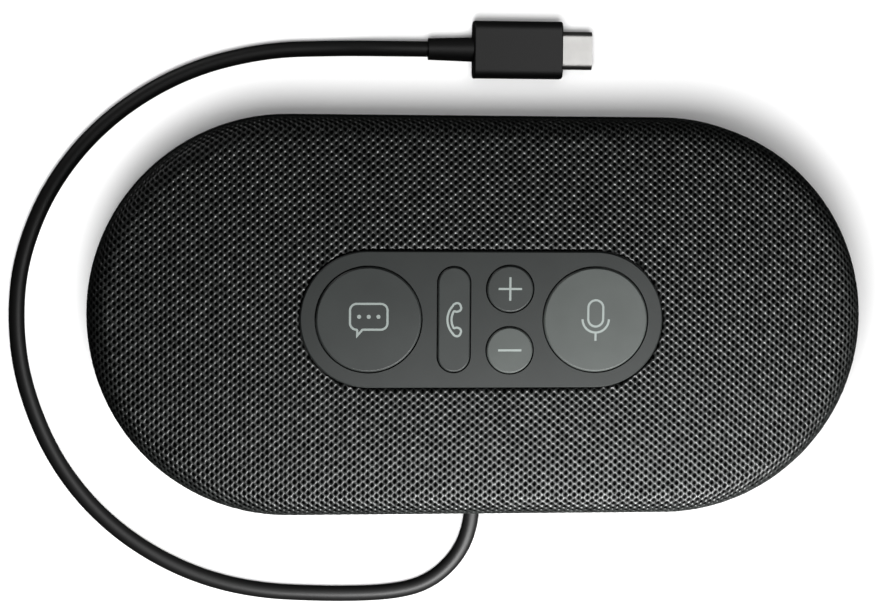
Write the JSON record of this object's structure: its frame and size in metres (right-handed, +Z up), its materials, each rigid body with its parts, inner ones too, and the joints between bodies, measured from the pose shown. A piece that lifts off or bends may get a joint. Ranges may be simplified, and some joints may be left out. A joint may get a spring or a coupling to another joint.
{
  "type": "conference speakerphone",
  "caption": "Oval fabric-covered desk speakerphone with a flush key panel, a winding groove under the rim and a captive cord ending in a USB-C plug.",
  "frame": {"origin": "on the table under the middle of the housing, leaving out the cord and plug", "axes": "+X along the length towards the mute key, -Y the front where the cord leaves, +Z up"},
  "size_m": [0.1826, 0.1278, 0.028],
  "materials": {
    "rubber_foot": "matte silicone rubber",
    "base_plastic": "fine spark texture, black",
    "trim_plastic": "satin dark grey",
    "inner_plastic": "moulded black ABS",
    "knit_fabric": "warp-knitted polyester mesh, charcoal",
    "panel_plastic": "soft-touch dark grey",
    "key_plastic": "soft-touch dark grey",
    "icon_plastic": "translucent pale grey inlay",
    "silicone_mat": "translucent grey silicone",
    "spring_steel": "plated stamping",
    "screw_steel": "black oxide",
    "led_package": "white light-emitting diode package",
    "circuit_board": "green solder mask",
    "chip_resin": "moulded epoxy",
    "ribbon_film": "polyimide film",
    "connector_nylon": "natural nylon",
    "wire_jacket": "soft wire insulation",
    "motor_steel": "zinc plated",
    "magnet_plating": "nickel plated",
    "coil_copper": "enamelled copper winding",
    "cone_paper": "pressed black pulp",
    "surround_rubber": "butyl rubber",
    "radiator_plate": "anodised weighted plate",
    "seal_foam": "closed-cell foam",
    "cord_jacket": "matte elastomer jacket",
    "plug_plastic": "satin black overmould",
    "plug_steel": "nickel plated steel",
    "connector_black": "black liquid-crystal polymer",
    "contact_gold": "gold plated contacts"
  },
  "bodies": {
    "housing": {"foot_ring": "rubber_foot", "base_plate": "base_plastic", "base_screws": "screw_steel", "bottom_shell": "base_plastic", "housing_gasket": "seal_foam", "trim_ring": "trim_plastic", "top_frame": "inner_plastic", "frame_screws": "screw_steel", "fabric_cover": "knit_fabric", "panel_bezel": "panel_plastic", "key_mat": "silicone_mat", "key_domes": "spring_steel", "key_leds": "led_package", "key_board": "circuit_board", "panel_screws": "screw_steel", "key_ribbon": "ribbon_film", "main_board": "circuit_board", "main_board_chips": "chip_resin", "board_screws": "screw_steel", "microphones": "spring_steel", "microphone_boots": "silicone_mat", "cord_connector": "connector_nylon", "driver_leads": "wire_jacket", "driver_basket": "inner_plastic", "driver_yoke": "motor_steel", "driver_magnet": "magnet_plating", "driver_top_plate": "motor_steel", "driver_surround": "surround_rubber", "driver_gasket": "seal_foam", "driver_screws": "screw_steel", "radiator_frame": "inner_plastic", "radiator_surround": "surround_rubber", "radiator_gasket": "seal_foam", "radiator_screws": "screw_steel", "cord_boot": "cord_jacket", "cord_tail": "cord_jacket", "cord_clamp": "inner_plastic", "clamp_screws": "screw_steel", "cord": "cord_jacket", "plug_boot": "cord_jacket", "plug_overmould": "plug_plastic", "plug_shell": "plug_steel", "plug_insulator": "connector_black", "plug_contacts": "contact_gold"},
    "call_key": {"call_key": "key_plastic", "call_icon": "icon_plastic"},
    "answer_key": {"answer_key": "key_plastic", "answer_icon": "icon_plastic"},
    "volume_up_key": {"volume_up_key": "key_plastic", "volume_up_icon": "icon_plastic"},
    "volume_down_key": {"volume_down_key": "key_plastic", "volume_down_icon": "icon_plastic"},
    "mute_key": {"mute_key": "key_plastic", "mute_icon": "icon_plastic"},
    "cone": {"driver_coil": "coil_copper", "driver_cone": "cone_paper", "driver_dust_cap": "cone_paper"},
    "radiator": {"radiator_plate": "radiator_plate"}
  },
  "joints": [
    {"name": "call_press", "type": "slide", "parent": "housing", "child": "call_key", "axis": [0, 0, -1], "range_m": [0, 0.0005], "stiffness_N_per_m": 1600},
    {"name": "answer_press", "type": "slide", "parent": "housing", "child": "answer_key", "axis": [0, 0, -1], "range_m": [0, 0.0005], "stiffness_N_per_m": 1400},
    {"name": "volume_up_press", "type": "slide", "parent": "housing", "child": "volume_up_key", "axis": [0, 0, -1], "range_m": [0, 0.0005], "stiffness_N_per_m": 1200},
    {"name": "volume_down_press", "type": "slide", "parent": "housing", "child": "volume_down_key", "axis": [0, 0, -1], "range_m": [0, 0.0005], "stiffness_N_per_m": 1200},
    {"name": "mute_press", "type": "slide", "parent": "housing", "child": "mute_key", "axis": [0, 0, -1], "range_m": [0, 0.0005], "stiffness_N_per_m": 1600},
    {"name": "cone_stroke", "type": "slide", "parent": "housing", "child": "cone", "axis": [0, 0, 1], "range_m": [-0.001, 0.001], "stiffness_N_per_m": 1800, "deforming": ["driver_surround"]},
    {"name": "radiator_stroke", "type": "slide", "parent": "housing", "child": "radiator", "axis": [0, 0, 1], "range_m": [-0.0015, 0.0015], "stiffness_N_per_m": 1200, "deforming": ["radiator_surround"]}
  ]
}
